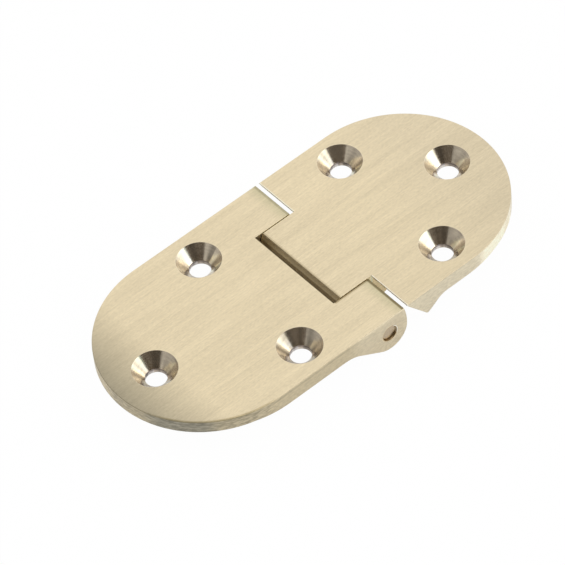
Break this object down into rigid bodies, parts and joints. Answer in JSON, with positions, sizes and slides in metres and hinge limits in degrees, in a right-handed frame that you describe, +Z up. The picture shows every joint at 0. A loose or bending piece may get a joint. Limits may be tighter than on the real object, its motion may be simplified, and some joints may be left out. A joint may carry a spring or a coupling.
{
  "type": "butler tray hinge",
  "caption": "Flush brass hinge with round-ended flat leaves, countersunk screw holes and a sunk pin below the top faces, folding up square.",
  "frame": {"origin": "middle of the length and width, at the lowest point of the knuckles", "axes": "+X along the hinge from the fixed leaf to the flap leaf, +Y along the pin, +Z up out of the top faces"},
  "size_m": [0.0636, 0.03, 0.006],
  "materials": {
    "brushed_brass": "brushed",
    "pin_brass": "drawn rod, plain"
  },
  "bodies": {
    "fixed_leaf": {"fixed_leaf": "brushed_brass", "hinge_pin": "pin_brass"},
    "flap_leaf": {"flap_leaf": "brushed_brass"}
  },
  "joints": [
    {"name": "flap_fold", "type": "hinge", "parent": "fixed_leaf", "child": "flap_leaf", "pos_m": [0.0018, 0, 0.00295], "axis": [0, -1, 0], "range_deg": [0, 90]}
  ]
}
